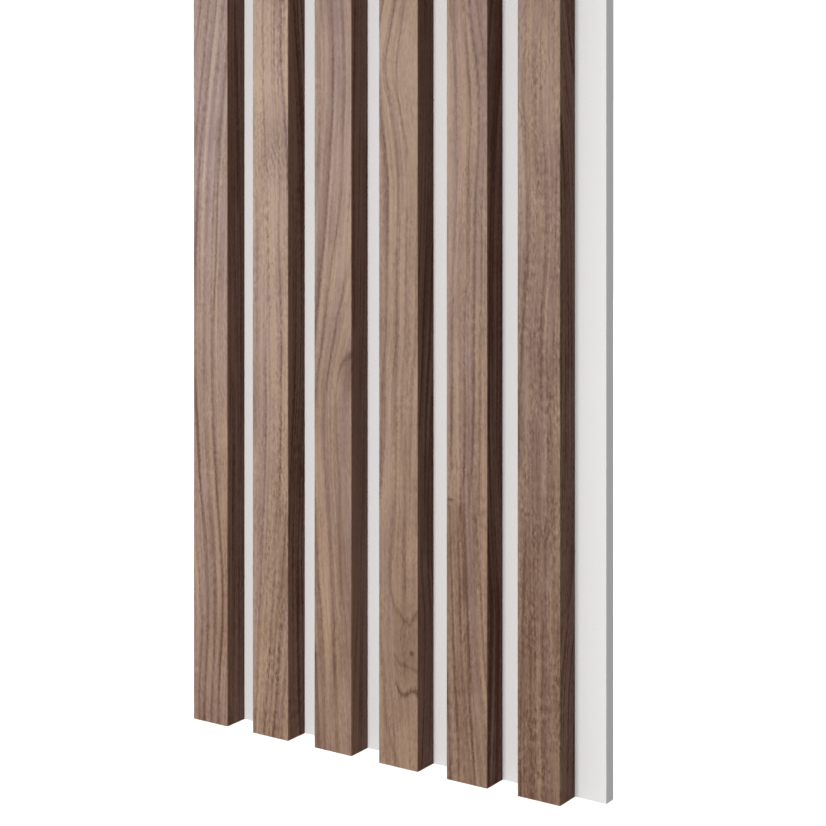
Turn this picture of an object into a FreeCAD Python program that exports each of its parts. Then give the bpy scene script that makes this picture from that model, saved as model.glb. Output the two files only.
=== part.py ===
import FreeCAD, Part
import os

# Acoustic slat wall panel: walnut slats stapled to a felt backing.
# Millimetres. Z is up, the wall plane is Y = 0 and the front faces -Y.
# X runs to the right, with the panel's middle at X = 0 and its foot at Z = 0.

# Panel
panel_length = 1200.0
slat_count = 6
slat_width = 29.0
slat_gap = 21.0
slat_depth = 18.0
slat_edge_radius = 0.5
felt_thickness = 9.0

# Staples, driven from the back through the felt into each slat
staple_crown = 10.0
staple_wire_thickness = 1.0
staple_wire_width = 1.2
staple_bend_radius = 1.0
staple_sink = 0.6
staple_bite = 7.0
staple_point = 0.8
staple_spacing = 160.0
staple_end_distance = 40.0

# Sizes that follow from the ones above
slat_pitch = slat_width + slat_gap
panel_width = slat_count * slat_pitch
panel_left = -panel_width / 2.0
felt_front = -felt_thickness
slat_front = felt_front - slat_depth
staple_tip = felt_front - staple_bite
crown_back = -staple_sink
crown_front = crown_back - staple_wire_thickness
staple_run = panel_length - 2.0 * staple_end_distance
staple_rows = max(1, int(staple_run / staple_spacing + 1e-6)) + 1
staple_pitch = staple_run / (staple_rows - 1)

UP = FreeCAD.Vector(0, 0, 1)


def point(x, y):
    return FreeCAD.Vector(x, y, 0)


def line(start, end):
    return Part.LineSegment(point(*start), point(*end)).toShape()


def chain(points):
    return [line(start, end) for start, end in zip(points, points[1:])]


def corner(centre, radius, start_degrees, end_degrees):
    return Part.makeCircle(radius, point(*centre), UP, start_degrees, end_degrees)


def prism(edges, z, height):
    """A closed outline in XY, raised along Z."""
    wire = Part.Wire(Part.__sortEdges__(edges))
    face = Part.Face(wire)
    solid = face.extrude(UP * height)
    solid.translate(UP * z)
    return solid


def slat_left(index):
    return panel_left + index * slat_pitch


def slat_middle(index):
    return slat_left(index) + slat_width / 2.0


def staple_levels():
    return [staple_end_distance + row * staple_pitch for row in range(staple_rows)]


def make_slat_bar(index):
    """A bar with square back edges and eased front edges."""
    r = slat_edge_radius
    left = slat_left(index)
    right = left + slat_width
    edges = [
        line((left, felt_front), (right, felt_front)),
        line((right, felt_front), (right, slat_front + r)),
        corner((right - r, slat_front + r), r, 270, 360),
        line((right - r, slat_front), (left + r, slat_front)),
        corner((left + r, slat_front + r), r, 180, 270),
        line((left, slat_front + r), (left, felt_front)),
    ]
    return prism(edges, 0.0, panel_length)


def staple_sides(middle):
    return middle - staple_crown / 2.0, middle + staple_crown / 2.0


def staple_underside(middle):
    """Points down the right leg, under the crown and up the left leg, with chisel points."""
    t = staple_wire_thickness
    left, right = staple_sides(middle)
    heel = staple_tip + staple_point
    return [
        (right, heel),
        (right - t, staple_tip),
        (right - t, crown_front),
        (left + t, crown_front),
        (left + t, staple_tip),
        (left, heel),
    ]


def staple_prism(edges, level):
    return prism(edges, level - staple_wire_width / 2.0, staple_wire_width)


def make_staple(middle, level):
    """U-shaped wire: a crown at the back, rounded bends and two legs."""
    r = staple_bend_radius
    left, right = staple_sides(middle)
    shoulder = crown_back - r
    edges = chain([(right, shoulder)] + staple_underside(middle) + [(left, shoulder)])
    edges.append(corner((left + r, shoulder), r, 90, 180))
    edges.append(line((left + r, crown_back), (right - r, crown_back)))
    edges.append(corner((right - r, shoulder), r, 0, 90))
    return staple_prism(edges, level)


def make_staple_cut(middle, level):
    """What a staple cuts as it sinks: its legs' path, and its crown's from the felt's back."""
    left, right = staple_sides(middle)
    points = [(right, 0.0)] + staple_underside(middle) + [(left, 0.0), (right, 0.0)]
    return staple_prism(chain(points), level)


def make_felt_sheet():
    return Part.makeBox(
        panel_width,
        felt_thickness,
        panel_length,
        FreeCAD.Vector(panel_left, felt_front, 0.0),
    )


os.makedirs("parts", exist_ok=True)

staples = []
staple_cuts = []
for index in range(slat_count):
    middle = slat_middle(index)
    staples.extend(make_staple(middle, level) for level in staple_levels())
    own_cuts = Part.makeCompound([make_staple_cut(middle, level) for level in staple_levels()])
    slat = make_slat_bar(index).cut(own_cuts)
    slat.exportStep("parts/slat_%d.step" % (index + 1))
    staple_cuts.append(own_cuts)

felt = make_felt_sheet().cut(Part.makeCompound(staple_cuts))
felt.exportStep("parts/felt_backing.step")

Part.makeCompound(staples).exportStep("parts/staples.step")
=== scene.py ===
"""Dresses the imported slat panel: walnut veneer on the slats, white felt, staple wire, studio stage."""

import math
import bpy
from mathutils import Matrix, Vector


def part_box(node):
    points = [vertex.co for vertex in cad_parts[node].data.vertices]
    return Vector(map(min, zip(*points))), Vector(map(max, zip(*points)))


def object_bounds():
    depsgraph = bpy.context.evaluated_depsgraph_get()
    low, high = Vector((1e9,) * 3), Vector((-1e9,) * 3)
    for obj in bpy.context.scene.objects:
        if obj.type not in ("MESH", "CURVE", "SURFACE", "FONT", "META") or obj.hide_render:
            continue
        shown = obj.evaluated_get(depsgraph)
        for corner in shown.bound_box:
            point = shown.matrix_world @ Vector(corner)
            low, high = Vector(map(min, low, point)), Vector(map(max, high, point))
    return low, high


bl_info = {
    "name": "Acoustic slat wall panel",
    "version": (1, 0, 0),
    "blender": (4, 5, 0),
    "location": "3D View > Sidebar > Slat panel",
    "description": "Finishes the walnut slats, the felt and the staples, and sets the stage",
    "category": "Object",
}

import bpy
from mathutils import Vector

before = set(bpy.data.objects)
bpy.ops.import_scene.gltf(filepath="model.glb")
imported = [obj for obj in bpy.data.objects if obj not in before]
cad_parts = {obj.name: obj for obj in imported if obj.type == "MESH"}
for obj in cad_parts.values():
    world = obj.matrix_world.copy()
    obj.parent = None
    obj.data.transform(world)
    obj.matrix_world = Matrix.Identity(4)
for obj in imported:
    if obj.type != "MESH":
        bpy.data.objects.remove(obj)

CAD_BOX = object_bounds()
SLATS = sorted(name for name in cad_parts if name.startswith("slat_"))
MM = 0.001


def thread(strength, *points, before=1.2, after=0.9):
    """One line along the grain: its strength, its path upwards, and its half widths left and right."""
    return {"strength": strength, "before": before, "after": after, "points": points}


# Grain of each slat's veneer, in millimetres across the slat and up from its foot.
# flow_left, flow_right: how far the fine lines lean sideways at each height, by either edge.
# side_flow: the same on the side, counted back from the front.
# lines: growth lines above the threads, as place across and strength.
# threads: single lines along the front, as points of height and place across.
# side_threads: the same on the side, counted back from the front.
# strokes: marks across the grain, as half height, strength and points of their path.
# spots: darker or lighter places, as place, height, half width, half height and strength.
# calm: plain places with faint grain, as place, height, half width and half height.
# steps: darker wood below a level, as level, strength and how far across it reaches.
# tone, side_tone: how dark the front and the side are. mauve, ripple, pores: how much of each.
VENEERS = [
    {
        "flow_left": [
            (0, 2.5), (40, 4.5), (75, 6), (110, 4.5), (150, 1), (190, -2), (225, -3.5), (260, -4),
            (310, -3.5), (360, -1.5), (400, 1.5), (440, 5.5), (480, 9.5), (560, 14), (700, 12), (850, 6),
            (1000, 9), (1200, 4),
        ],
        "flow_right": [
            (0, 1.5), (40, 4), (75, 5.7), (110, 4.3), (150, 1.2), (190, -1.4), (225, -2.6), (260, -2.8),
            (310, -2), (360, 0.2), (400, 3.6), (440, 8), (480, 12), (560, 15), (700, 11), (850, 7),
            (1000, 8), (1200, 5),
        ],
        "lines": [
            (-8, 0.6), (-4, 0.4), (-0.4, 0.7), (2.6, 0.4), (6, 1.0), (9, 0.35), (12.2, 0.65), (15.2, 0.5),
            (18.9, 1.0), (22.6, 0.5), (25.5, 0.7), (31.5, 0.7),
        ],
        "threads": [
            thread(0.5, (0, 9.6), (20, 10), (40, 11.4), (62, 12.8), (78, 13), (100, 12.2), (118, 11.2),
                   (135, 9.2), (155, 6.6), (175, 5), (200, 3.6), (218, 1.6), (240, 0), (270, -0.6),
                   (300, 0.6), (320, 2.6), (345, 4.2), (365, 5.4), (390, 8), (412, 10.6), (440, 14.4),
                   (480, 20), (520, 24), before=1.6),
            thread(0.46, (0, 22), (20, 22), (40, 23), (60, 24.8), (80, 25.4), (100, 24.8), (120, 23.3),
                   (160, 20), (200, 17.6), (245, 16.6), (265, 16.8), (300, 19), (320, 19.8), (345, 20.4),
                   (365, 21.2), (385, 22.6), (405, 24.6), (425, 27), (445, 29.4), before=1.4),
            thread(0.42, (385, 1.5), (425, 6.8), (465, 11.8), (520, 18)),
            thread(0.35, (440, 0.4), (470, 5.4), (520, 12)),
            thread(0.32, (0, 15.5), (30, 16.6), (70, 18.4), (95, 18.6), (115, 17.6), (140, 15),
                   (165, 12.6), (190, 10.6), (215, 9), (250, 9.3), (325, 11.2), (355, 12.4), (380, 14),
                   (400, 16), (440, 21.2), (480, 26), before=1.5, after=1.2),
            thread(0.32, (0, 5), (25, 5.4), (45, 6.6), (62, 7.6), (75, 7.2), (90, 5.6), (105, 4),
                   (132, 0)),
        ],
        "side_flow": [(0, 0), (200, 1), (400, -1), (480, -1.5), (800, 1), (1200, -1)],
        "side_threads": [
            thread(0.3, (350, 10), (400, 11), (440, 8.5), (470, 7.5)),
            thread(0.3, (110, 5.5), (150, 5.8), (190, 6.5), (230, 5.5)),
            thread(0.28, (60, 12.5), (110, 12), (170, 12.6), (260, 11)),
            thread(0.35, (215, 8.5), (250, 9), (295, 9)),
            thread(0.25, (100, 14.5), (135, 15), (170, 14.5)),
        ],
        "spots": [
            (7, 3, 4, 9, 0.2), (2.5, 90, 3, 30, -0.18), (25.5, 150, 2.2, 30, -0.15), (10, 170, 4, 8, -0.1),
            (2, 205, 2, 18, 0.12), (2.5, 318, 4, 30, 0.3), (9, 320, 5, 60, -0.06), (15, 50, 25, 50, -0.07),
            (15, 250, 25, 50, 0.06), (26, 372, 5, 20, 0.17), (13, 163, 7, 18, -0.16),
        ],
        "tone": 0.0, "side_tone": 0.04, "mauve": 0.62, "ripple": 1.0, "pores": 0.8,
    },
    {
        "flow_left": [
            (0, -10), (20, -8.5), (40, -6.5), (65, -5), (100, -3), (145, -1.5), (190, 0), (240, 0.5),
            (320, 1.5), (355, 0.8), (405, -0.5), (480, 0), (650, 2), (820, -2), (1000, 1), (1200, -2),
        ],
        "flow_right": [
            (0, -17), (27, -12), (60, -9), (90, -4.5), (115, -2), (132, 0), (190, 2), (240, 2.5),
            (295, 0.2), (340, -1), (372, -0.5), (407, -4), (440, -6), (480, -5.5), (650, -3), (820, 3),
            (1000, 0), (1200, 4),
        ],
        "lines": [
            (4, 0.2), (9.2, 0.55), (14, 0.3), (19.2, 0.5), (21.8, 0.75), (24.2, 0.4), (27, 0.9),
            (31.7, 0.8), (36, 0.8),
        ],
        "threads": [
            thread(0.35, (0, 1.6), (30, 3.4), (70, 5.2), (90, 6.4), (125, 7.6), (140, 8.7), (160, 10),
                   (185, 10.8), (210, 11.3), (235, 10.6), (255, 11.2), (280, 12), (300, 12.5), (320, 12.4),
                   (345, 12), (370, 11.4), (390, 10.3), (410, 9.2), (435, 8.4), (460, 8.6), (520, 10)),
            thread(0.38, (362, 28.8), (380, 28), (410, 25.8), (425, 24.3), (440, 23.3), (460, 23.5),
                   (520, 26)),
            thread(0.33, (0, 9.6), (20, 11), (50, 13.8), (80, 16), (95, 17.2), (110, 18), (125, 18.3),
                   (140, 19.3), (155, 21), (170, 22.1), (190, 22.8), (225, 23.4), (260, 23.8), (295, 23),
                   (315, 21.8), (335, 21.7), (360, 22), (380, 21.4), (395, 20.2), (410, 18.8), (425, 17.6),
                   (445, 17.5), (480, 18.7), (520, 20), before=1.4, after=1.1),
            thread(0.38, (0, 17), (20, 18.8), (60, 21.8), (80, 23.3), (120, 26.6), (140, 28.6),
                   before=1.5, after=1.1),
            thread(0.2, (0, 5.4), (30, 8), (60, 9.8), (100, 12.4), (130, 14)),
            thread(0.2, (0, 13.5), (30, 16.2), (60, 18.6), (90, 21), (115, 22.8)),
            thread(0.28, (0, 23.4), (20, 25), (40, 27), (58, 29)),
            thread(0.28, (190, 2.6), (225, 2.8), (260, 3.6), (290, 3.6), (320, 4), (345, 3.4),
                   before=1.8, after=1.4),
        ],
        "side_flow": [
            (0, 11), (45, 9.4), (75, 8.7), (110, 7.8), (135, 8.4), (165, 10), (190, 12), (230, 15),
            (300, 16.5), (375, 15.5), (420, 13), (470, 8), (560, 3), (700, 6), (900, 0), (1200, 5),
        ],
        "side_threads": [
            thread(0.45, (395, 15.5), (420, 13.5), (445, 11), (470, 9)),
            thread(0.25, (150, 16), (250, 16.5), (350, 16), (450, 17), before=4.0, after=3.0),
            thread(0.25, (20, 10.3), (45, 9.4), (75, 8.7), (110, 7.7), (135, 8.2), (165, 9.8),
                   (190, 11.5)),
            thread(0.25, (30, 12.4), (70, 11), (110, 11.7), (145, 12.8), (175, 14.5)),
            thread(0.4, (85, 15), (115, 15.5), (145, 15.5), before=1.5, after=1.5),
        ],
        "strokes": [
            (2.0, 0.22, [(6, 434), (12, 433), (18, 430), (25, 428)]),
            (2.2, 0.2, [(5, 147), (12, 145), (20, 144)]),
        ],
        "spots": [
            (1.5, 12, 1.5, 8, 0.25), (10, 10, 2, 6, 0.15), (17.4, 5, 1.6, 6, 0.2), (1, 400, 1.5, 14, 0.2),
            (27.5, 330, 1.2, 50, -0.12), (26, 190, 2.5, 50, -0.12), (9, 45, 3, 25, -0.08),
            (8, 425, 9, 14, -0.2), (16, 300, 6, 70, -0.1), (15, 200, 25, 60, -0.04), (3, 15, 5, 14, -0.22),
            (6, 70, 8, 40, -0.15), (26, 104, 6, 22, 0.25), (10.5, 225, 4.5, 25, -0.15),
            (11, 325, 4, 55, -0.13), (18.5, 388, 5, 26, 0.28), (12, 452, 14, 14, -0.14),
        ],
        "calm": [(5, 420, 8, 60)],
        "tone": -0.05, "side_tone": -0.05, "mauve": 0.42, "ripple": 1.5, "pores": 0.8,
    },
    {
        "flow_left": [
            (0, 14), (27, 12.8), (50, 11.2), (80, 9), (100, 6.6), (115, 5.4), (135, 4), (157, 2.1),
            (190, 0.5), (225, 0), (245, 1.5), (260, 3), (300, 5.5), (332, 8), (375, 11), (442, 15),
            (480, 13), (600, 8), (760, 14), (900, 10), (1050, 4), (1200, 8),
        ],
        "flow_right": [
            (0, 14), (27, 12.8), (50, 11.2), (80, 9), (100, 6.6), (115, 5.4), (135, 4), (157, 2.1),
            (190, 0.5), (225, 0), (245, 3), (260, 7), (275, 11), (300, 16), (332, 17), (375, 19),
            (442, 20), (480, 18), (600, 11), (760, 16), (900, 12), (1050, 6), (1200, 10),
        ],
        "lines": [
            (-13, 0.4), (-9, 0.45), (-5.5, 0.4), (-2.4, 0.5), (1, 0.3), (10.5, 0.5), (15.5, 0.5),
            (20, 0.3),
        ],
        "threads": [
            thread(0.34, (0, 18.3), (20, 17), (40, 15.9), (60, 15.5), (85, 15.4), (105, 14.3),
                   before=2.4, after=1.6),
            thread(0.46, (115, 13.6), (125, 13), (145, 11.7), (160, 10.4), (175, 9), (192, 8.2), (208, 8),
                   (220, 8.4), (232, 9.6), (245, 12), (258, 15), (268, 17.3), before=1.5, after=1.1),
            thread(0.26, (277, 19.4), (290, 22.4), (302, 25.6), (312, 29), before=2.2, after=1.8),
            thread(0.34, (215, 0), (240, 3), (255, 5.6), (285, 10), (315, 14.6), (330, 17.6), (345, 20),
                   (360, 21.6), (378, 22.6), (400, 23), (415, 23.8), (432, 24), (450, 23.5), (480, 21.8),
                   (520, 18)),
            thread(0.42, (262, 0.6), (280, 2.8), (300, 5.5), (320, 7.5), (340, 9.2), (380, 12.6),
                   (400, 14), (420, 14.9), (440, 15.2), (458, 14.8), (475, 13.8), (520, 10),
                   before=3.0, after=1.1),
            thread(0.2, (280, 2.6), (320, 3.4), (360, 3.4), (400, 4), (440, 4.6), (520, 5),
                   before=1.5, after=1.3),
            thread(0.3, (0, 8.4), (30, 8.1), (50, 7.6), (70, 6.3), (90, 4.9), (110, 3.4), (130, 2.2),
                   (165, 0), before=7.0),
            thread(0.3, (0, 2.8), (20, 2.4), (40, 1.8), (60, 1.2), before=1.4, after=1.4),
            thread(0.2, (60, 21.5), (100, 20.5), (150, 19.8), (170, 20), (185, 18.5), (205, 17), (222, 17),
                   before=1.5, after=1.3),
        ],
        "side_flow": [
            (0, 0), (60, 1.5), (120, 4), (165, 6), (210, 7.5), (255, 8.7), (300, 10), (400, 12), (470, 13),
            (600, 10), (800, 4), (1000, 8), (1200, 3),
        ],
        "side_threads": [
            thread(0.5, (275, 2.5), (340, 3), (400, 4), (470, 5), before=2.0, after=1.4),
            thread(0.3, (20, 9), (60, 10), (110, 11), (160, 13), (210, 15)),
            thread(0.15, (90, 3), (120, 5), (165, 7), (210, 8), (255, 9.2), (300, 10.5)),
        ],
        "strokes": [
            (2.6, 0.85, [(16.2, 200), (16.8, 222), (18.3, 235), (20.5, 243), (24, 249), (29, 252)]),
        ],
        "spots": [
            (27, 242, 6, 15, 0.36), (10.5, 85, 2.5, 35, -0.16), (4, 185, 3, 40, -0.1),
            (25, 330, 5, 60, -0.12), (16, 55, 1.6, 7, 0.15), (5.5, 205, 2.5, 8, 0.1),
            (3, 424, 4, 22, 0.15), (22, 222, 6, 22, 0.26), (8, 385, 6, 20, 0.13), (26, 430, 5, 35, -0.17),
            (4, 25, 7, 25, -0.11), (10, 136, 12, 12, -0.1),
        ],
        "calm": [(24, 200, 7, 35)],
        "tone": 0.0, "side_tone": -0.13, "mauve": 0.55, "ripple": 0.75, "pores": 0.7,
    },
    {
        "flow_left": [
            (0, -1), (40, -3), (80, -6), (115, -5.8), (130, -6), (157, -4.6), (190, -3.9), (240, -3),
            (265, -0.3), (305, 0), (330, 0.4), (355, 1), (375, -0.3), (395, -3.1), (415, -6.7), (436, -10),
            (452, -8), (470, -4), (500, 2), (600, 6), (760, 2), (900, -3), (1050, 0), (1200, 3),
        ],
        "lines": [(2.5, 0.5), (6.6, 0.75), (13.8, 1.0), (16.6, 0.3), (20.6, 0.6), (25, 0.25)],
        "threads": [
            thread(0.38, (104, 10.6), (112, 9), (122, 8.8), (135, 9.8), (150, 11), (170, 12), (195, 12.3),
                   (225, 12.6), (240, 13), before=1.5),
            thread(0.24, (250, 13.4), (285, 14.3), (315, 14.8), before=3.5, after=1.2),
            thread(0.46, (325, 15.1), (355, 15.3), (372, 14.5), (388, 13), (400, 11), (412, 8.6),
                   (422, 6.4), (430, 5), (437, 4.6), (444, 5.9), (452, 7.8), (482, 13.4), (520, 19)),
            thread(0.2, (112, 20), (140, 18.6), (175, 19), (205, 20), before=2.0, after=1.6),
            thread(0.16, (235, 21.6), (270, 21.4), (310, 20.8), (340, 20.4), before=1.5, after=1.5),
            thread(0.38, (383, 21), (400, 17.5), (418, 14), (425, 13), (432, 13), (442, 14.4), (465, 17.6),
                   (480, 20.3), (520, 26)),
            thread(0.42, (166, 0.6), (180, 2.3), (195, 3.8), (215, 4.6), (245, 4.4), (265, 5), (290, 5.7),
                   (315, 6.6), (340, 7), (360, 6.7), (378, 5.5), (395, 3.9), (410, 2), (422, 0.6),
                   before=6.0),
            thread(0.4, (458, 0.4), (468, 1.8), (478, 4), (520, 11), before=3.0),
            thread(0.22, (4, 14), (15, 9.6), (25, 7), (35, 5.2), (50, 4.7), (62, 3.8), (72, 2.2),
                   (84, 0.4), before=2.5),
        ],
        "side_flow": [
            (0, 9), (45, 11), (85, 12), (110, 10), (135, 8), (165, 9), (200, 10), (230, 12), (260, 14.5),
            (305, 17), (350, 20), (470, 23), (600, 18), (800, 12), (1000, 16), (1200, 10),
        ],
        "side_threads": [
            thread(0.2, (180, 4), (215, 5.2), (260, 7), (305, 9), (350, 12)),
            thread(0.4, (135, 8), (165, 9), (200, 10), (230, 12), (258, 15)),
            thread(0.4, (130, 13), (160, 12), (195, 13), (220, 16)),
            thread(0.2, (20, 10), (45, 11), (85, 12), (110, 10)),
        ],
        "strokes": [
            (2.2, 0.5, [(9, 108), (12, 99), (15, 96), (20, 91), (23, 90), (26, 94), (29, 98)]),
            (2.0, 1.2, [(11.5, 56), (14, 49.5), (16.5, 46), (19.5, 45.5), (22.5, 47.5), (25, 49),
                        (29, 48.5)]),
            (1.4, 0.5, [(11, 70), (15, 65), (22, 63.5), (29, 61.5)]),
        ],
        "spots": [
            (24.6, 72, 1.2, 1.3, 1.0), (18, 85, 11, 20, 0.16), (20, 57, 9, 7, 0.08),
            (9.5, 310, 1.8, 55, -0.2), (8, 195, 2.5, 40, -0.2), (21, 66, 10, 40, 0.2),
            (4, 62, 5, 24, -0.2), (2.5, 190, 5, 80, -0.2), (24, 180, 11, 75, 0.18), (3, 440, 5, 35, -0.22),
            (26, 340, 6, 30, 0.12), (13.4, 288, 1.8, 30, 0.12), (20, 18, 9, 18, -0.06), (3, 8, 5, 9, 0.2),
            (24, 418, 5, 30, -0.1), (20, 160, 1.4, 40, 0.1), (15, 60, 25, 50, 0.03),
            (15, 430, 25, 50, -0.06),
        ],
        "calm": [(22, 72, 12, 40), (25, 420, 9, 60)],
        "tone": -0.03, "side_tone": 0.13, "mauve": 0.15, "ripple": 0.8, "pores": 0.7,
    },
    {
        "flow_left": [
            (0, 5), (25, 4), (120, 0), (165, -2), (240, -2.8), (265, -3), (300, -2.5), (317, -1.6),
            (340, -0.9), (367, -0.3), (385, 0), (410, 0.5), (432, 0), (450, -0.5), (475, -2.5), (560, -6),
            (700, -3), (850, 1), (1000, 4), (1200, -2),
        ],
        "flow_right": [
            (0, 9.5), (10, 8.3), (50, 3.3), (90, -1), (165, -3), (240, -3.6), (265, -4), (305, -3),
            (340, -3), (367, -2), (385, -0.6), (410, 0.7), (432, -0.5), (450, -4.5), (475, -9.7),
            (560, -12), (700, -5), (850, 1), (1000, -3), (1200, 2),
        ],
        "lines": [
            (2, 0.45), (6.3, 0.75), (10.3, 0.4), (13, 0.35), (16.3, 0.8), (19.4, 0.35), (22.3, 0.95),
            (27.5, 0.85), (31, 0.7),
        ],
        "threads": [
            thread(0.34, (174, 1.6), (200, 3.3), (225, 4), (285, 4.6), (305, 5), (325, 5.7), (345, 6.6),
                   (365, 7.2), (385, 7.1), (402, 7.6), (420, 7.4), (440, 6.7), (460, 5.6), (480, 4),
                   (520, 1)),
            thread(0.34, (174, 10.4), (190, 12.7), (205, 13.5), (230, 13.6), (255, 12.9), (280, 13.3),
                   (300, 14), (320, 15.2), (340, 15.8), (360, 15.7), (380, 16.2), (395, 17.3), (407, 17.6),
                   (422, 16.7), (440, 15), (460, 13.8), (480, 12), (520, 8)),
            thread(0.42, (174, 16.9), (205, 18.7), (230, 19.6), (300, 20), (330, 20.4), (350, 21),
                   (370, 22.2), (388, 23.1), (405, 23.3), (420, 23), (430, 22.3), (450, 19.3), (480, 16.2),
                   (520, 12)),
            thread(0.28, (430, 29), (455, 24.2), (485, 20.4), (520, 17)),
            thread(0.2, (174, 22.6), (190, 23.6), (215, 24), (250, 24.6), (330, 25.6)),
            thread(0.38, (0, 9), (20, 8.5), (38, 7.5), (55, 6.3), (75, 5.3), (115, 4), (135, 3.1),
                   (164, 2.4)),
            thread(0.28, (95, 10.2), (115, 9.5), (135, 8.9), (150, 9), (164, 9.6)),
            thread(0.4, (0, 20.2), (40, 17.8), (60, 16.7), (80, 16), (100, 15.2), (120, 14), (164, 11.8),
                   before=1.5),
            thread(0.34, (52, 29.4), (65, 28), (80, 26.4), (100, 25.2), (120, 24.2), (164, 20.6)),
            thread(0.36, (0, 3), (20, 2.4), (40, 1.5), (62, 0.3)),
        ],
        "side_flow": [
            (0, 8), (60, 11), (95, 12), (125, 10), (155, 7.6), (190, 5), (225, 4), (275, 4.2), (310, 5),
            (345, 6), (375, 7.4), (400, 9.5), (430, 13), (465, 17), (520, 22), (620, 20), (800, 12),
            (1000, 6), (1200, 10),
        ],
        "side_threads": [
            thread(0.3, (240, 4), (275, 4.2), (310, 5), (345, 6), (375, 7.4), (400, 9.5), (430, 13),
                   (465, 17), before=1.6),
            thread(0.12, (20, 9), (60, 11), (95, 12), (125, 10), (155, 7.6), (190, 5), (225, 4)),
            thread(0.2, (110, 7.5), (150, 5), (190, 3), (215, 1)),
            thread(0.3, (265, 9), (300, 10), (345, 13), (365, 14), before=1.6, after=1.4),
        ],
        "spots": [
            (12, 117, 3, 12, 0.4), (13.2, 90, 1.8, 9, 0.2), (3, 170.5, 2.2, 1.0, 0.55),
            (11, 380, 2.2, 60, -0.12), (26.5, 60, 2, 50, -0.14), (27, 150, 1.6, 25, -0.12),
            (15, 60, 25, 90, 0.03), (15, 430, 25, 60, -0.06), (2.5, 250, 4, 300, -0.13),
            (25, 160, 5, 12, 0.16),
        ],
        "steps": [(169, 0.14, 19)],
        "tone": 0.03, "side_tone": 0.21, "mauve": 0.45, "ripple": 1.0, "pores": 0.9,
    },
    {
        "flow_left": [
            (0, 0), (100, -1), (200, -2), (265, -3), (290, -2), (325, 0), (360, 0.5), (415, -1.5),
            (480, -1), (620, 2), (800, -2), (1000, 1), (1200, -1),
        ],
        "lines": [(7, 0.6), (12, 0.35), (15.5, 0.35), (19.4, 0.8), (23, 0.4), (26, 0.4)],
        "threads": [
            thread(0.34, (200, 1), (225, 1.4), (245, 2), (280, 3.9), (292, 4.7), (305, 5.6), (320, 6.8),
                   (340, 7.3), (355, 6.9)),
            thread(0.18, (372, 6), (402, 4.6), (416, 3.6), (432, 3.2)),
            thread(0.2, (0, 11.4), (60, 11.8), (90, 12.2), (115, 13.2), (135, 13.9), (155, 15),
                   (225, 15.6), before=4.0, after=1.0),
            thread(0.3, (240, 16), (275, 17), (290, 17.6), (302, 18.8), (315, 20), (328, 20.7),
                   (342, 21.3), (358, 20.9), before=2.2, after=1.0),
            thread(0.16, (372, 20.1), (388, 18.8), (402, 16.8), (430, 16.5), (520, 17)),
            thread(0.2, (300, 23.5), (320, 24.8), (345, 26), (365, 26.4)),
            thread(0.24, (0, 2), (25, 2.2), (50, 2.5), (80, 3), (105, 3.8), (145, 5.2)),
            thread(0.18, (0, 9.6), (20, 8.6), (40, 7.8), (70, 8.2), (100, 8.6), before=1.6, after=1.3),
            thread(0.16, (0, 17.4), (40, 17), (80, 17.4), (130, 18.8), (200, 21), (240, 22)),
            thread(0.14, (0, 24.5), (60, 24), (120, 24.6), (200, 25.4), (280, 25)),
        ],
        "side_flow": [
            (0, 0), (60, 2), (80, 5), (105, 10), (130, 14), (155, 18), (185, 22), (250, 24), (330, 23),
            (386, 19), (420, 11), (457, 2), (500, -4), (600, -8), (800, 0), (1000, 6), (1200, 0),
        ],
        "side_threads": [
            thread(-0.25, (110, 1), (130, 6), (155, 12), (185, 17), before=1.5, after=1.5),
            thread(-0.25, (60, 0.5), (80, 3), (105, 8), (123, 16), before=1.5, after=1.5),
            thread(0.2, (20, 11), (50, 12), (90, 14), before=6.0, after=5.0),
            thread(-0.15, (300, 15), (340, 14), (400, 16), (450, 15), before=2.0, after=2.0),
            thread(-0.25, (315, 10), (340, 8.5), (375, 5), (430, 3), before=1.8, after=1.8),
            thread(0.25, (150, 3), (200, 3.4), (245, 3)),
        ],
        "spots": [
            (3, 350, 3, 30, -0.16), (18.3, 190, 1.6, 20, -0.14), (14, 60, 1.6, 60, -0.1),
            (22, 50, 2, 40, -0.1), (7, 100, 7, 90, 0.1), (15, 440, 25, 60, -0.2), (15, 50, 30, 90, 0.1),
            (15, 240, 30, 60, 0.08), (7, 148, 8, 42, 0.2), (9, 360, 6, 30, -0.18), (26, 424, 5, 14, 0.18),
        ],
        "tone": 0.18, "side_tone": -0.1, "mauve": 0.4, "ripple": 1.35, "pores": 1.1,
    },
]


# Kinds and limits that several settings share
COLOUR = {"subtype": "COLOR", "size": 4, "min": 0.0, "max": 1.0}
SHARE = {"subtype": "FACTOR", "min": 0.0, "max": 1.0}
WATTS = {"unit": "POWER", "min": 0.0}


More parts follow.
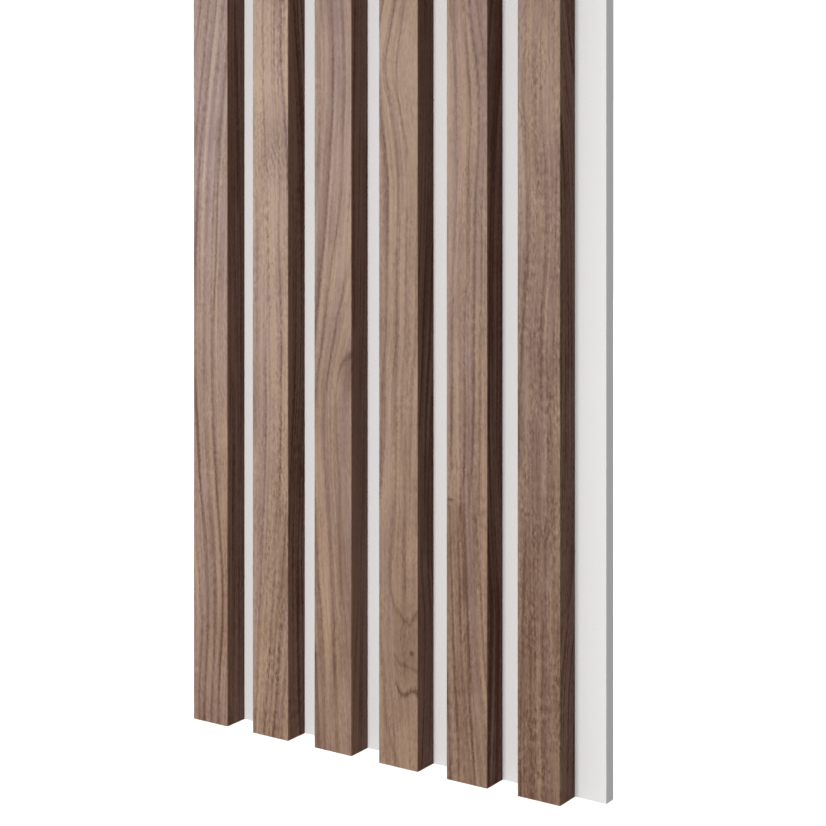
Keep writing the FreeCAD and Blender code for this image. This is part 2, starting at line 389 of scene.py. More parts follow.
class SlatPanelSettings(bpy.types.PropertyGroup):
    """Colours, finish and stage of the slat panel."""

    walnut_light: bpy.props.FloatVectorProperty(
        name="Walnut light", description="Veneer between the growth lines",
        default=(0.305, 0.199, 0.132, 1.0), **COLOUR)
    walnut_dark: bpy.props.FloatVectorProperty(
        name="Walnut dark", description="Growth lines and pores",
        default=(0.093, 0.034, 0.014, 1.0), **COLOUR)
    walnut_mauve: bpy.props.FloatVectorProperty(
        name="Walnut mauve", description="Cooler bands of the heartwood",
        default=(0.247, 0.160, 0.133, 1.0), **COLOUR)
    side_by_front: bpy.props.FloatVectorProperty(
        name="Side by the front", description="Side veneer beside the slat's front",
        default=(0.305, 0.172, 0.111, 1.0), **COLOUR)
    # Partly painted shade: the side veneer beside the felt is darker than beside the front, for the shade
    # deep between the slats.
    side_at_felt_shaded: bpy.props.FloatVectorProperty(
        name="Side by the felt", description="Side veneer beside the felt",
        default=(0.227, 0.145, 0.133, 1.0), **COLOUR)
    # Painted shade: the dark colour that the slats' sides are darkened towards; it is no colour of the
    # wood.
    side_shade_colour: bpy.props.FloatVectorProperty(
        name="Side wood", description="Dark heartwood that the slats' side veneer leans to",
        default=(0.040, 0.014, 0.010, 1.0), **COLOUR)
    board_core: bpy.props.FloatVectorProperty(
        name="Board core", description="Pressed-fibre core seen at the slats' cut ends",
        default=(0.36, 0.245, 0.150, 1.0), **COLOUR)
    felt_white: bpy.props.FloatVectorProperty(
        name="Felt white", description="Pressed felt of the backing",
        default=(0.88, 0.873, 0.863, 1.0), **COLOUR)
    staple_steel: bpy.props.FloatVectorProperty(
        name="Staple steel", description="Galvanised staple wire",
        default=(0.60, 0.60, 0.61, 1.0), **COLOUR)
    floor_pale: bpy.props.FloatVectorProperty(
        name="Floor", description="Plain pale floor",
        default=(0.92, 0.92, 0.92, 1.0), **COLOUR)
    veneer_roughness: bpy.props.FloatProperty(
        name="Veneer roughness", description="Satin of the sealed veneer",
        default=0.42, **SHARE)
    veneer_shine: bpy.props.FloatProperty(
        name="Veneer shine", description="Strength of the satin on the slats' fronts",
        default=0.40, **SHARE)
    side_shine: bpy.props.FloatProperty(
        name="Side shine", description="Strength of the satin on the slats' sides",
        default=0.03, **SHARE)
    # Painted shade: the share by which the slats' sides are darkened, standing in for the shade they lie
    # in.
    side_painted_shade: bpy.props.FloatProperty(
        name="Side darkening", description="How much darker the slats' side veneer is than their fronts",
        default=0.42, **SHARE)
    veneer_thickness: bpy.props.FloatProperty(
        name="Veneer thickness", description="Veneer edge seen at the cut ends",
        default=0.0006, unit="LENGTH", min=0.0002, max=0.002)
    camera_position: bpy.props.FloatVectorProperty(
        name="Camera position", description="Where the camera stands",
        default=(0.6798, -1.0126, 0.4270), subtype="TRANSLATION", unit="LENGTH", size=3)
    camera_turn: bpy.props.FloatProperty(
        name="Camera turn", description="Turn of the level camera to the left of the wall's normal",
        default=math.radians(33.576), subtype="ANGLE", unit="ROTATION")
    camera_lens: bpy.props.FloatProperty(
        name="Camera lens", description="Focal length on a 36 mm sensor",
        default=83.72, subtype="DISTANCE_CAMERA")
    camera_shift: bpy.props.FloatProperty(
        name="Camera shift", description="Vertical lens shift that keeps the slats upright in the picture",
        default=-0.4060)
    key_power: bpy.props.FloatProperty(
        name="Key light", description="Broad soft light in front of the panel",
        default=18.5, **WATTS)
    left_power: bpy.props.FloatProperty(
        name="Left light", description="Soft light that the veneer's satin mirrors",
        default=26.0, **WATTS)
    back_power: bpy.props.FloatProperty(
        name="Back light", description="Soft light on the felt's back",
        default=26.0, **WATTS)
    floor_light: bpy.props.FloatProperty(
        name="Floor light", description="Even light from straight above, for the floor",
        default=3.0, min=0.0)
    surround_light: bpy.props.FloatProperty(
        name="Surround", description="Strength of the white surround",
        default=0.405, min=0.0)
    surround_mirrored: bpy.props.FloatProperty(
        name="Mirrored surround", description="Strength of the surround where gloss mirrors it",
        default=0.12, min=0.0)


def cells(width, height, seed, detail=2.0, roughness=0.5):
    """One noise field: the width and height of its cells in millimetres, its seed and its fineness."""
    return {"width": width, "height": height, "seed": seed, "detail": detail, "roughness": roughness}


class Graph:
    """Adds shader nodes to a tree and links them."""

    def __init__(self, tree):
        self.tree = tree
        tree.nodes.clear()

    def add(self, kind, **settings):
        """A new node with these settings."""
        node = self.tree.nodes.new(kind)
        for name, value in settings.items():
            setattr(node, name, value)
        return node

    def feed(self, socket, value):
        """Links a socket to another one, or sets it to a plain value."""
        if isinstance(value, bpy.types.NodeSocket):
            self.tree.links.new(value, socket)
        else:
            socket.default_value = value

    def math(self, operation, *values):
        """One calculation with numbers."""
        node = self.add("ShaderNodeMath", operation=operation)
        for socket, value in zip(node.inputs, values):
            self.feed(socket, value)
        return node.outputs[0]

    def total(self, values):
        """All the values added up."""
        result = values[0]
        for value in values[1:]:
            result = self.math("ADD", result, value)
        return result

    def remap(self, value, low, high, to_low=0.0, to_high=1.0):
        """The value's place between low and high, as a place between to_low and to_high."""
        node = self.add("ShaderNodeMapRange", clamp=True)
        for socket, item in zip(node.inputs, (value, low, high, to_low, to_high)):
            self.feed(socket, item)
        return node.outputs[0]

    def split(self, vector):
        """The x, y and z of a vector."""
        node = self.add("ShaderNodeSeparateXYZ")
        self.feed(node.inputs[0], vector)
        return node.outputs

    def noise(self, x, y, field, seed=0.0):
        """Fractal noise from 0 to 1 in the field's cells."""
        place = self.add("ShaderNodeCombineXYZ")
        self.feed(place.inputs["X"], self.math("DIVIDE", x, field["width"]))
        self.feed(place.inputs["Y"], self.math("DIVIDE", y, field["height"]))
        self.feed(place.inputs["Z"], seed + field["seed"])
        node = self.add("ShaderNodeTexNoise", noise_dimensions="3D")
        self.feed(node.inputs["Vector"], place.outputs[0])
        self.feed(node.inputs["Scale"], 1.0)
        self.feed(node.inputs["Detail"], field["detail"])
        self.feed(node.inputs["Roughness"], field["roughness"])
        return node.outputs[0]

    def swing(self, noise, reach):
        """Noise turned into a swing of about plus or minus reach."""
        return self.math("MULTIPLY", self.math("SUBTRACT", noise, 0.5), 2.0 * reach)

    def curve(self, value, points, x_range, y_range):
        """A smooth curve through points, in the points' own units."""
        node = self.add("ShaderNodeFloatCurve")
        line = node.mapping.curves[0].points
        spread_x = x_range[1] - x_range[0]
        spread_y = y_range[1] - y_range[0]
        places = [((x - x_range[0]) / spread_x, (y - y_range[0]) / spread_y) for x, y in points]
        while len(line) < len(places):
            line.new(0.5, 0.5)
        for knot, place in zip(line, places):
            knot.location = place
            knot.handle_type = "AUTO_CLAMPED"
        node.mapping.update()
        self.feed(node.inputs["Value"], self.remap(value, x_range[0], x_range[1]))
        return self.math("MULTIPLY_ADD", node.outputs[0], spread_y, y_range[0])

    def bell(self, value, centre, half_width):
        """1 at the centre, falling to about a third at half_width."""
        step = self.math("DIVIDE", self.math("SUBTRACT", value, centre), half_width)
        square = self.math("MULTIPLY", step, step)
        return self.math("POWER", math.e, self.math("MULTIPLY", square, -1.0))

    def blend(self, share, first, second, kind="FLOAT"):
        """The first number at share 0 and the second at share 1."""
        node = self.add("ShaderNodeMix", data_type=kind)
        for name, value in (("Factor", share), ("A", first), ("B", second)):
            self.feed(node.inputs[name], value)
        return node.outputs["Result"]

    def mix(self, share, first, second):
        """The first colour at share 0 and the second at share 1."""
        return self.blend(share, first, second, "RGBA")


def new_material(name):
    """A material without nodes, and the graph to fill it."""
    material = bpy.data.materials.new(name)
    material.use_nodes = True
    return material, Graph(material.node_tree)


def finish_material(graph, colour, roughness, normal=None, metallic=0.0, specular=0.5):
    """The shader and the output at the end of a material."""
    shader = graph.add("ShaderNodeBsdfPrincipled")
    graph.feed(shader.inputs["Base Color"], colour)
    graph.feed(shader.inputs["Roughness"], roughness)
    graph.feed(shader.inputs["Metallic"], metallic)
    graph.feed(shader.inputs["Specular IOR Level"], specular)
    if normal is not None:
        graph.feed(shader.inputs["Normal"], normal)
    output = graph.add("ShaderNodeOutputMaterial")
    graph.feed(output.inputs["Surface"], shader.outputs[0])


def bump(graph, height, depth):
    """Normals of a surface that the height raises by up to depth."""
    node = graph.add("ShaderNodeBump")
    graph.feed(node.inputs["Strength"], 1.0)
    graph.feed(node.inputs["Distance"], depth)
    graph.feed(node.inputs["Height"], height)
    return node.outputs[0]


def place_in_mm(graph):
    """x, y and z of the shaded point in the panel's frame, in millimetres."""
    coordinates = graph.add("ShaderNodeTexCoord")
    scale = graph.add("ShaderNodeVectorMath", operation="SCALE")
    graph.feed(scale.inputs[0], coordinates.outputs["Object"])
    graph.feed(scale.inputs["Scale"], 1.0 / MM)
    return graph.split(scale.outputs[0])


def dimmed(colour, share):
    """A colour with this share of its light."""
    return tuple(share * part for part in colour[:3]) + (1.0,)


# Most of a noise field lies between these two
NOISE_LOW = 0.3
NOISE_HIGH = 0.7

# Noise fields of the veneer, each with a seed of its own beside the slat's
SLAT_SEED_STEP = 17.0
WANDER = cells(14.0, 70.0, 1.0, detail=1.0)
JAG = cells(1.1, 1.8, 2.0, roughness=0.6)
LINE_FADE = cells(5.0, 120.0, 3.0, detail=1.0)
FINE_LINES = cells(1.5, 160.0, 4.0, roughness=0.6)
BANDS = cells(6.0, 260.0, 5.0)
FIBRES = cells(0.45, 14.0, 6.0, roughness=0.6)
RIPPLE = cells(1.7, 4.4, 7.0, roughness=0.6)
PORES = cells(0.55, 5.5, 8.0, detail=1.0)
STROKE_EDGE = cells(2.2, 2.6, 9.0, detail=3.0)
MAUVE_BANDS = cells(9.0, 330.0, 10.0, detail=1.0)
CORE_FLECKS = cells(0.5, 0.5, 11.0, detail=3.0, roughness=0.7)
STEP_EDGE = cells(3.0, 2.0, 12.0)
RIPPLE_PLACES = cells(9.0, 30.0, 13.0, detail=1.0)
CLOUDS = cells(13.0, 40.0, 14.0, detail=3.0)
MAUVE_STREAKS = cells(2.8, 70.0, 15.0)

# How far the curves and the wavering reach, in millimetres
FLOW_REACH = (-26.0, 26.0)
THREAD_REACH = (-10.0, 40.0)
WANDER_REACH = 0.9
JAG_REACH = 1.2

# Growth lines, in millimetres: their span, and the slow rise and quick fall of each
LINE_SPAN = (-30.0, 60.0)
LINE_RISE = 2.2
LINE_FALL = 0.9

# Height in millimetres where growth lines take over from the threads, and their tone below it
THREADS_TOP = 490.0
THREADS_BLEND = 40.0
LINES_BELOW = 0.2

# Length in millimetres over which a thread ends, and what is left of lines and threads where they fade
THREAD_END = 12.0
LINE_FADED = 0.5
THREAD_FADED = 0.75

# How far each kind of mark moves the veneer's tone, from 0 (light wood) to 1 (dark wood)
BASE_TONE = 0.27
LINE_TONE = 0.70
THREAD_TONE = 1.25
SIDE_THREAD_TONE = 0.9
FINE_LINE_TONE = 0.50
BAND_TONE = 0.33
CLOUD_TONE = 0.35
FIBRE_TONE = 0.20
RIPPLE_TONE = 0.51
PORE_TONE = 0.40
STROKE_TONE = 0.50

# Edges of strokes and steps, in millimetres
STROKE_LEAD = 1.0
STROKE_RISE = 3.0
STROKE_WAVER = 1.8
STEP_SOFTNESS = 3.0
STEP_WAVER = 8.0
STEP_END = 5.0

# Share of the grain left in a calm place
CALM_GRAIN = 0.15

# Noise limits of the ripple and the pores, and the ripple's strength from place to place
RIPPLE_LIMITS = (0.35, 0.65)
RIPPLE_STRENGTH = (0.4, 1.3)
PORE_LIMITS = (0.60, 0.74)

# Mauve: the streaks' share beside the bands, and where it starts, how that moves and how soon it is full
STREAK_SHARE = 0.7
MAUVE_START = 0.98
MAUVE_MOVE = 0.45
MAUVE_RISE = 0.28

# Depth in millimetres over which a slat's front turns into its side
FRONT_END = 0.3
SIDE_START = 0.8

# Side strips against the front: contrast of the grain, width of the threads, and painted shade that
# deepens towards the felt
SIDE_GRAIN = 2.6
SIDE_SPREAD = 1.6
SIDE_FELT_SHADE = 0.08

# The painted shade on the side strips eases towards the foot, most of all beside the front
SIDE_SHADE_EASE = 0.22
SIDE_SHADE_EASE_TOP = 180.0
SIDE_SHADE_EASE_BY_FELT = 0.4

# Cut ends: how upright the normal of one is, the dark flecks' share of light and the roughness
END_UPRIGHT = 0.5
CORE_DARK = 0.62
END_ROUGHNESS = 0.85

# Surface: roughness of light and dark wood beside the setting, how far pores sink, depth of the grain
SATIN_LIGHT = -0.03
SATIN_DARK = 0.10
PORE_DEPTH = 1.6
GRAIN_DEPTH = 0.08 * MM


class SlatFace:
    """One slat's veneer, and where the shaded point lies on the slat, in millimetres."""

    def __init__(self, graph, number, low, high):
        self.graph = graph
        self.veneer = VENEERS[number]
        self.seed = SLAT_SEED_STEP * number
        self.x, self.y, self.up = place_in_mm(graph)
        self.width = (high.x - low.x) / MM
        self.height = high.z / MM
        self.across = graph.math("SUBTRACT", self.x, low.x / MM)
        self.depth = graph.math("SUBTRACT", self.y, low.y / MM)
        self.unrolled = graph.math("ADD", self.depth, self.across)
        self.front = graph.remap(self.depth, FRONT_END, SIDE_START, 1.0, 0.0)
        self.towards_felt = graph.remap(self.depth, SIDE_START, (high.y - low.y) / MM)
        self.jag = graph.swing(self.noise(self.unrolled, JAG), JAG_REACH)

    def noise(self, x, field):
        """Noise of this slat, across by x and along its length."""
        return self.graph.noise(x, self.up, field, self.seed)

    def lean(self, name):
        """Sideways lean of the grain at this height, from one of the veneer's flows."""
        return self.graph.curve(self.up, self.veneer[name], (0.0, self.height), FLOW_REACH)

    def patch(self, place, level, half_width, half_height):
        """1 at a place on the slat's front, fading out all round it."""
        beside = self.graph.bell(self.across, place, half_width)
        return self.graph.math("MULTIPLY", beside, self.graph.bell(self.up, level, half_height))


def front_lean(slat):
    """Lean of the grain on the front, between its two edges."""
    graph = slat.graph
    left = slat.lean("flow_left")
    if "flow_right" not in slat.veneer:
        return left
    change = graph.math("SUBTRACT", slat.lean("flow_right"), left)
    share = graph.remap(slat.across, 0.0, slat.width)
    return graph.math("ADD", left, graph.math("MULTIPLY", change, share))


def growth_rings(slat):
    """Place across the growth rings: the unrolled face, set straight by its lean, with a slow wander."""
    graph = slat.graph
    lean = graph.blend(slat.front, slat.lean("side_flow"), front_lean(slat))
    straight = graph.math("SUBTRACT", slat.unrolled, lean)
    wander = graph.swing(slat.noise(slat.unrolled, WANDER), WANDER_REACH)
    return graph.total([straight, wander, slat.jag])


def line_profile(lines):
    """Points of the tone across the growth lines: a slow rise to each dark line and a quick fall."""
    points = [(LINE_SPAN[0], 0.0)]
    for place, strength in lines:
        points += [(place - LINE_RISE, 0.0), (place, strength), (place + LINE_FALL, 0.0)]
    points.append((LINE_SPAN[1], 0.0))
    return sorted(points)


def grain_tone(slat, ring, line_fade):
    """Growth lines, fine lines and bands, faint in the calm places."""
    graph = slat.graph
    lines = graph.curve(ring, line_profile(slat.veneer["lines"]), LINE_SPAN, (0.0, 1.0))
    start = THREADS_TOP - THREADS_BLEND
    share = graph.remap(slat.up, start, THREADS_TOP + THREADS_BLEND, LINES_BELOW, LINE_TONE)
    lines = graph.math("MULTIPLY", lines, graph.math("MULTIPLY", line_fade, share))
    fine_lines = graph.swing(slat.noise(ring, FINE_LINES), FINE_LINE_TONE)
    bands = graph.swing(slat.noise(ring, BANDS), BAND_TONE)
    grain = graph.total([lines, fine_lines, bands])
    grain = graph.math("MULTIPLY", grain, graph.remap(slat.front, 0.0, 1.0, SIDE_GRAIN, 1.0))
    for calm in slat.veneer.get("calm", []):
        left_over = graph.remap(slat.patch(*calm), 0.0, 1.0, 1.0, CALM_GRAIN)
        grain = graph.math("MULTIPLY", grain, left_over)
    return grain


def ripple_tone(slat):
    """Short marks across the grain, stronger in some places than in others."""
    graph = slat.graph
    ripple = graph.swing(slat.noise(slat.unrolled, RIPPLE), RIPPLE_TONE * slat.veneer["ripple"])
    strength = graph.remap(slat.noise(slat.unrolled, RIPPLE_PLACES), *RIPPLE_LIMITS, *RIPPLE_STRENGTH)
    return graph.math("MULTIPLY", ripple, strength)


def pore_tone(slat):
    """Fine dark dashes along the grain."""
    noise = slat.noise(slat.unrolled, PORES)
    return slat.graph.remap(noise, *PORE_LIMITS, 0.0, PORE_TONE * slat.veneer["pores"])


def thread_tone(slat, item, across, spread):
    """One line along the grain, fading out at its ends."""
    graph = slat.graph
    points = item["points"]
    start, end = points[0][0], points[-1][0]
    before = spread * item["before"]
    after = spread * item["after"]
    away = graph.math("SUBTRACT", across, graph.curve(slat.up, points, (start, end), THREAD_REACH))
    beyond = graph.math("GREATER_THAN", away, 0.0)
    half_width = graph.math("MULTIPLY_ADD", beyond, after - before, before)
    foot = graph.remap(slat.up, start - THREAD_END, start, 0.0, item["strength"])
    head = graph.remap(slat.up, end, end + THREAD_END, 1.0, 0.0)
    return graph.math("MULTIPLY", graph.bell(away, 0.0, half_width), graph.math("MULTIPLY", foot, head))


def all_threads(slat, name, across, spread=1.0):
    """The lines along the grain of the front or of the side."""
    place = slat.graph.math("ADD", across, slat.jag)
    return slat.graph.total([thread_tone(slat, item, place, spread) for item in slat.veneer[name]])


def stroke_tone(slat, half_height, strength, points):
    """One wavering mark across the grain, from its first point to the slat's right edge."""
    graph = slat.graph
    start = points[0][0]
    path = graph.curve(slat.across, points, (0.0, slat.width), (0.0, slat.height))
    waver = graph.swing(slat.noise(slat.across, STROKE_EDGE), STROKE_WAVER)
    away = graph.math("SUBTRACT", graph.math("ADD", slat.up, waver), path)
    rise = graph.remap(slat.across, start - STROKE_LEAD, start + STROKE_RISE, 0.0, STROKE_TONE * strength)
    return graph.math("MULTIPLY", graph.bell(away, 0.0, half_height), rise)


def spot_tone(slat, place, level, half_width, half_height, strength):
    """One darker or lighter place."""
    return slat.graph.math("MULTIPLY", slat.patch(place, level, half_width, half_height), strength)


def step_tone(slat, level, strength, reach):
    """Darker wood below a ragged level."""
    graph = slat.graph
    ragged = graph.math("ADD", slat.up, graph.swing(slat.noise(slat.across, STEP_EDGE), STEP_WAVER))
    below = graph.remap(ragged, level - STEP_SOFTNESS, level + STEP_SOFTNESS, strength, 0.0)
    beside = graph.remap(slat.across, reach - STEP_END, reach + STEP_END, 1.0, 0.0)
    return graph.math("MULTIPLY", below, beside)


def front_marks(slat, line_fade):
    """Threads, strokes, spots and steps of the front."""
    graph = slat.graph
    fade = graph.remap(line_fade, LINE_FADED, 1.0, THREAD_FADED * THREAD_TONE, THREAD_TONE)
    threads = graph.math("MULTIPLY", all_threads(slat, "threads", slat.across), fade)
    strokes = [stroke_tone(slat, *stroke) for stroke in slat.veneer.get("strokes", [])]
    spots = [spot_tone(slat, *spot) for spot in slat.veneer["spots"]]
    steps = [step_tone(slat, *step) for step in slat.veneer.get("steps", [])]
    return graph.math("ADD", threads, graph.total(strokes + spots + steps))


def side_marks(slat):
    """Threads and tone of the side, with painted shade that deepens towards the felt."""
    graph = slat.graph
    threads = all_threads(slat, "side_threads", slat.depth, SIDE_SPREAD)
    marks = graph.math("MULTIPLY_ADD", threads, SIDE_THREAD_TONE, slat.veneer["side_tone"])
    # Painted shade: the side's tone darkens from the front towards the felt.
    return graph.math("ADD", marks, graph.remap(slat.towards_felt, 0.0, 1.0, -SIDE_FELT_SHADE, SIDE_FELT_SHADE))


def mauve_share(slat, ring):
    """How mauve the wood is: bands and streaks along the rings."""
    graph = slat.graph
    bands = slat.noise(ring, MAUVE_BANDS)
    field = graph.math("MULTIPLY_ADD", slat.noise(ring, MAUVE_STREAKS), STREAK_SHARE, bands)
    start = MAUVE_START - MAUVE_MOVE * slat.veneer["mauve"]
    return graph.remap(field, start, start + MAUVE_RISE)


def wood_colour(slat, ring, tone, settings):
    """Colour of the veneer on the front, and of the side strips with painted shade: darker overall, deeper
    towards the felt and eased towards the foot.
    """
    graph = slat.graph
    face_wood = graph.mix(mauve_share(slat, ring), settings.walnut_light, settings.walnut_mauve)
    # Painted shade: the side colour darkens from the front towards the felt.
    strip_wood = graph.mix(slat.towards_felt, settings.side_by_front, settings.side_at_felt_shaded)
    colour = graph.mix(slat.front, strip_wood, face_wood)
    colour = graph.mix(graph.remap(tone, 0.0, 1.0), colour, settings.walnut_dark)
    # Painted light: the painted side shade is weaker towards the foot, most of all beside the front.
    shade_ease = graph.remap(slat.up, 0.0, SIDE_SHADE_EASE_TOP, SIDE_SHADE_EASE, 0.0)
    shade_ease_share = graph.remap(slat.towards_felt, 0.0, 1.0, 1.0, SIDE_SHADE_EASE_BY_FELT)
    # Painted shade on the side strips: their colour is darkened towards the side shade colour, less near
    # the foot.
    darkening = graph.math("SUBTRACT", settings.side_painted_shade, graph.math("MULTIPLY", shade_ease, shade_ease_share))
    return graph.mix(graph.blend(slat.front, darkening, 0.0), colour, settings.side_shade_colour)


def cut_end(graph):
    """1 on the faces that look up or down, and 0 elsewhere."""
    upright = graph.split(graph.add("ShaderNodeTexCoord").outputs["Normal"])[2]
    return graph.math("GREATER_THAN", graph.math("ABSOLUTE", upright), END_UPRIGHT)


def inside_veneer(slat, edge):
    """1 on the board's core, inside the veneer's edge on three sides, and 0 on that edge."""
    graph = slat.graph
    from_side = graph.math("MINIMUM", slat.across, graph.math("SUBTRACT", slat.width, slat.across))
    return graph.math("GREATER_THAN", graph.math("MINIMUM", from_side, slat.depth), edge)


def core_colour(slat, core):
    """Pressed fibres of the core, light and dark."""
    fleck = slat.graph.noise(slat.x, slat.y, CORE_FLECKS, slat.seed)
    return slat.graph.mix(slat.graph.remap(fleck, NOISE_LOW, NOISE_HIGH), dimmed(core, CORE_DARK), core)


def make_veneer(number, low, high, settings):
    """Walnut veneer of one slat, with the core showing at its cut ends."""
    material, graph = new_material("walnut_veneer_%d" % (number + 1))
    slat = SlatFace(graph, number, low, high)
    ring = growth_rings(slat)
    line_fade = graph.remap(slat.noise(ring, LINE_FADE), NOISE_LOW, NOISE_HIGH, LINE_FADED, 1.0)
    clouds = graph.swing(slat.noise(slat.unrolled, CLOUDS), CLOUD_TONE)
    fibres = graph.swing(slat.noise(slat.unrolled, FIBRES), FIBRE_TONE)
    pores = pore_tone(slat)
    marks = graph.blend(slat.front, side_marks(slat), front_marks(slat, line_fade))
    base = BASE_TONE + slat.veneer["tone"]
    grain = grain_tone(slat, ring, line_fade)
    tone = graph.total([grain, clouds, fibres, ripple_tone(slat), pores, marks, base])

    is_end = cut_end(graph)
    in_core = graph.math("MULTIPLY", is_end, inside_veneer(slat, settings.veneer_thickness / MM))
    wood = wood_colour(slat, ring, tone, settings)
    colour = graph.mix(in_core, wood, core_colour(slat, settings.board_core))

    satin = settings.veneer_roughness
    roughness = graph.remap(tone, 0.0, 1.0, satin + SATIN_LIGHT, satin + SATIN_DARK)
    roughness = graph.math("MAXIMUM", roughness, graph.math("MULTIPLY", is_end, END_ROUGHNESS))
    shine = graph.remap(slat.front, 0.0, 1.0, settings.side_shine, settings.veneer_shine)
    relief = graph.math("ADD", graph.math("MULTIPLY", pores, -PORE_DEPTH), fibres)
    finish_material(graph, colour, roughness, bump(graph, relief, GRAIN_DEPTH), specular=shine)
    return material


# Felt: tangled fibres and a slow drift of the white, with their shares of light, and the surface
FELT_TANGLE = cells(0.9, 0.9, 3.0, detail=4.0, roughness=0.7)
FELT_GREY = 0.93
FELT_DRIFT = cells(40.0, 60.0, 5.0)
FELT_SHADE = 0.97
DRIFT_LIMITS = (0.45, 0.75)
DRIFT_SHARE = 0.5
FELT_ROUGHNESS = 0.92
FELT_SHINE = 0.2
FELT_DEPTH = 0.25 * MM


def make_felt(settings):
    """Pressed white felt: short tangled fibres, soft and matte."""
    material, graph = new_material("white_felt")
    x, y, z = place_in_mm(graph)
    lay = graph.math("ADD", x, y)
    white = settings.felt_white
    tangle = graph.noise(lay, z, FELT_TANGLE)
    colour = graph.mix(graph.remap(tangle, NOISE_LOW, NOISE_HIGH), dimmed(white, FELT_GREY), white)
    drift = graph.remap(graph.noise(lay, z, FELT_DRIFT), *DRIFT_LIMITS, 0.0, DRIFT_SHARE)
    colour = graph.mix(drift, colour, dimmed(white, FELT_SHADE))
    finish_material(graph, colour, FELT_ROUGHNESS, bump(graph, tangle, FELT_DEPTH), specular=FELT_SHINE)
    return material


# Staple wire: marks of the drawing, from dull and rough to bright and smooth
WIRE_MARKS = cells(0.12, 3.0, 7.0)
WIRE_DULL = 0.72
WIRE_ROUGHNESS = (0.42, 0.30)


def make_staple_wire(settings):
    """Galvanised wire, faintly drawn along its length."""
    material, graph = new_material("staple_wire")
    x, y, z = place_in_mm(graph)
    drawn = graph.noise(z, graph.math("ADD", x, y), WIRE_MARKS)
    bright = settings.staple_steel
    colour = graph.mix(graph.remap(drawn, NOISE_LOW, NOISE_HIGH), dimmed(bright, WIRE_DULL), bright)
    roughness = graph.remap(drawn, NOISE_LOW, NOISE_HIGH, *WIRE_ROUGHNESS)
    finish_material(graph, colour, roughness, metallic=1.0)
    return material


def dress(node, material):
    """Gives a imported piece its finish."""
    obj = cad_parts[node]
    obj.data.materials.clear()
    obj.data.materials.append(material)


class SLATPANEL_OT_slats(bpy.types.Operator):
    """Give each slat its own walnut veneer"""

    bl_idname = "slatpanel.slats"
    bl_label = "Walnut slats"

    def execute(self, context):
        for number, name in enumerate(SLATS):
            low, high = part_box(name)
            dress(name, make_veneer(number, Vector(low), Vector(high), context.scene.slat_panel))
        return {"FINISHED"}


class SLATPANEL_OT_felt(bpy.types.Operator):
    """Give the backing its white felt"""

    bl_idname = "slatpanel.felt"
    bl_label = "Felt backing"

    def execute(self, context):
        dress("felt_backing", make_felt(context.scene.slat_panel))
        return {"FINISHED"}


class SLATPANEL_OT_staples(bpy.types.Operator):
    """Give the staples their wire finish"""

    bl_idname = "slatpanel.staples"
    bl_label = "Staples"

    def execute(self, context):
        dress("staples", make_staple_wire(context.scene.slat_panel))
        return {"FINISHED"}


# Soft lights, in metres: where each stands, its width and height, and what they all aim at
LIGHT_AIM = (0.0, 0.0, 0.3)
KEY_PLACE = (0.05, -1.5, 0.15)
KEY_SIZE = (0.4, 0.6)
LEFT_PLACE = (-1.6, -0.9, 0.4)
LEFT_SIZE = (0.6, 0.6)
BACK_PLACE = (-0.9, 2.0, 1.2)
BACK_SIZE = (1.0, 1.0)

# Floor light: its place in metres, and how wide it looks: narrow, so that the foot's edge stays crisp
FLOOR_LIGHT_PLACE = (0.0, 0.0, 4.0)
FLOOR_LIGHT_ANGLE = math.radians(0.1)

# Floor: how far it reaches in metres, and its finish
FLOOR_REACH = 30.0
FLOOR_CLOUDS = cells(900.0, 900.0, 1.0)
FLOOR_SHADE = 0.985
FLOOR_ROUGHNESS = 0.9
FLOOR_SHINE = 0.1

# Surround: its colour, and its strength as the camera sees it
SURROUND_WHITE = (1.0, 1.0, 1.0, 1.0)
SURROUND_SEEN = 1.05

# Camera: sensor in millimetres, clipping in metres, and the turn that makes it level
SENSOR_WIDTH = 36.0
CLIP_START = 0.01
CLIP_END = 100.0
LEVEL = math.radians(90.0)


def place_on_stage(name, data, place):
    """A new object of the scene at this place."""
    obj = bpy.data.objects.new(name, data)
    obj.location = place
    bpy.context.scene.collection.objects.link(obj)
    return obj


def add_soft_light(name, power, place, size):
    """A soft rectangle of light that aims at the panel."""
    data = bpy.data.lights.new(name, "AREA")
    data.shape = "RECTANGLE"
    data.size, data.size_y = size
    data.energy = power
    lamp = place_on_stage(name, data, place)
    aim = Vector(LIGHT_AIM) - Vector(place)
    lamp.rotation_euler = aim.to_track_quat("-Z", "Y").to_euler()
    lamp.visible_camera = False


def add_floor_light(settings):
    """Light from straight above: it whitens the floor and passes the upright faces by."""
    data = bpy.data.lights.new("floor_light", "SUN")
    data.energy = settings.floor_light
    data.angle = FLOOR_LIGHT_ANGLE
    place_on_stage("floor_light", data, FLOOR_LIGHT_PLACE)


def make_floor(settings):
    """Plain pale floor with a faint cloud."""
    material, graph = new_material("pale_floor")
    x, y, _ = place_in_mm(graph)
    pale = settings.floor_pale
    colour = graph.mix(graph.noise(x, y, FLOOR_CLOUDS), pale, dimmed(pale, FLOOR_SHADE))
    finish_material(graph, colour, FLOOR_ROUGHNESS, specular=FLOOR_SHINE)
    return material


def add_floor(settings):
    """A wide floor at the panel's foot, which throws no colour back on the panel."""
    reach = FLOOR_REACH
    mesh = bpy.data.meshes.new("floor")
    corners = [(-reach, -reach, 0.0), (reach, -reach, 0.0), (reach, reach, 0.0), (-reach, reach, 0.0)]
    mesh.from_pydata(corners, [], [(0, 1, 2, 3)])
    mesh.materials.append(make_floor(settings))
    floor = place_on_stage("floor", mesh, (0.0, 0.0, CAD_BOX[0][2]))
    floor.visible_diffuse = False
    floor.visible_glossy = False


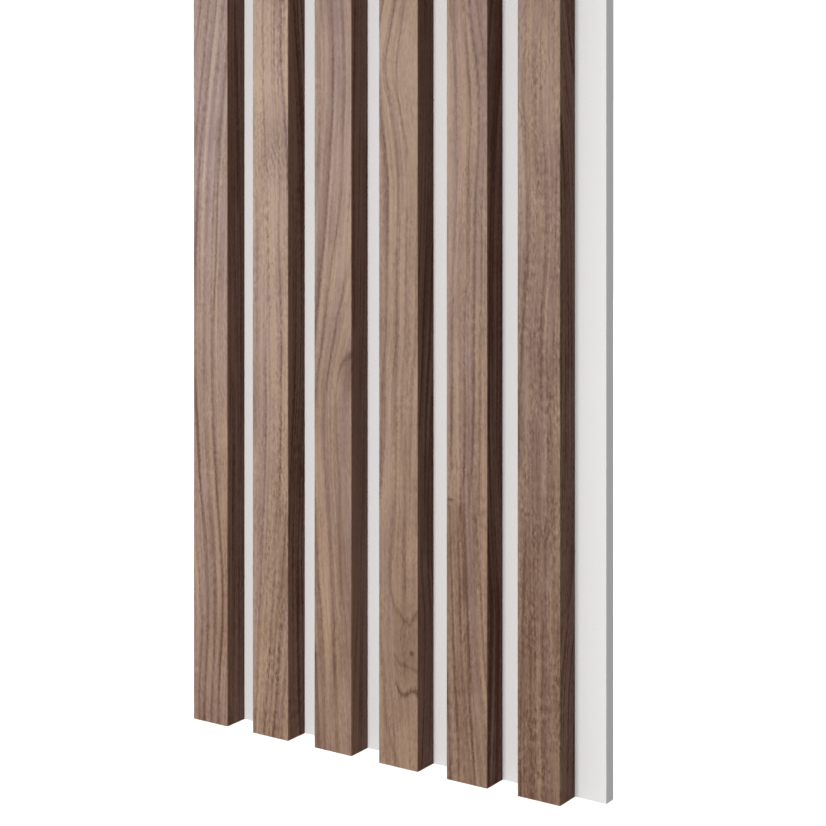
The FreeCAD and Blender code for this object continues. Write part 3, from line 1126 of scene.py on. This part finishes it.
def add_surround(settings):
    """White all round for the camera, and a weaker white light on the panel."""
    world = bpy.data.worlds.new("white_surround")
    world.use_nodes = True
    graph = Graph(world.node_tree)
    path = graph.add("ShaderNodeLightPath")
    mirrored = path.outputs["Is Glossy Ray"]
    weaker = graph.remap(mirrored, 0.0, 1.0, settings.surround_light, settings.surround_mirrored)
    blend = graph.add("ShaderNodeMixShader")
    graph.feed(blend.inputs[0], path.outputs["Is Camera Ray"])
    for number, strength in enumerate((weaker, SURROUND_SEEN)):
        white = graph.add("ShaderNodeBackground")
        graph.feed(white.inputs["Color"], SURROUND_WHITE)
        graph.feed(white.inputs["Strength"], strength)
        graph.feed(blend.inputs[1 + number], white.outputs[0])
    output = graph.add("ShaderNodeOutputWorld")
    graph.feed(output.inputs["Surface"], blend.outputs[0])
    bpy.context.scene.world = world


def add_camera(settings):
    """A level camera whose lens shift keeps the slats upright."""
    data = bpy.data.cameras.new("camera")
    data.sensor_width = SENSOR_WIDTH
    data.lens = settings.camera_lens
    data.shift_y = settings.camera_shift
    data.clip_start = CLIP_START
    data.clip_end = CLIP_END
    camera = place_on_stage("camera", data, settings.camera_position)
    camera.rotation_euler = (LEVEL, 0.0, settings.camera_turn)
    bpy.context.scene.camera = camera


class SLATPANEL_OT_stage(bpy.types.Operator):
    """Set the floor, the lights, the surround and the camera"""

    bl_idname = "slatpanel.stage"
    bl_label = "Stage"

    def execute(self, context):
        settings = context.scene.slat_panel
        add_floor(settings)
        add_soft_light("key_light", settings.key_power, KEY_PLACE, KEY_SIZE)
        add_soft_light("left_light", settings.left_power, LEFT_PLACE, LEFT_SIZE)
        add_soft_light("back_light", settings.back_power, BACK_PLACE, BACK_SIZE)
        add_floor_light(settings)
        add_surround(settings)
        add_camera(settings)
        context.scene.view_settings.view_transform = "Standard"
        return {"FINISHED"}


class SLATPANEL_PT_sidebar(bpy.types.Panel):
    """Lists the panel's pieces and settings"""

    bl_idname = "SLATPANEL_PT_sidebar"
    bl_label = "Slat panel"
    bl_space_type = "VIEW_3D"
    bl_region_type = "UI"
    bl_category = "Slat panel"

    def draw(self, context):
        for operator in OPERATORS:
            self.layout.operator(operator.bl_idname)
        for name in SlatPanelSettings.__annotations__:
            self.layout.prop(context.scene.slat_panel, name)


OPERATORS = (SLATPANEL_OT_slats, SLATPANEL_OT_felt, SLATPANEL_OT_staples, SLATPANEL_OT_stage)
CLASSES = (SlatPanelSettings,) + OPERATORS + (SLATPANEL_PT_sidebar,)


def register():
    """Makes the settings, the operators and the sidebar known to Blender."""
    for item in CLASSES:
        bpy.utils.register_class(item)
    bpy.types.Scene.slat_panel = bpy.props.PointerProperty(type=SlatPanelSettings)


def unregister():
    """Takes them away again."""
    del bpy.types.Scene.slat_panel
    for item in reversed(CLASSES):
        bpy.utils.unregister_class(item)


def main():
    """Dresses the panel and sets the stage."""
    register()
    bpy.ops.slatpanel.slats()
    bpy.ops.slatpanel.felt()
    bpy.ops.slatpanel.staples()
    bpy.ops.slatpanel.stage()


if __name__ == "__main__":
    main()
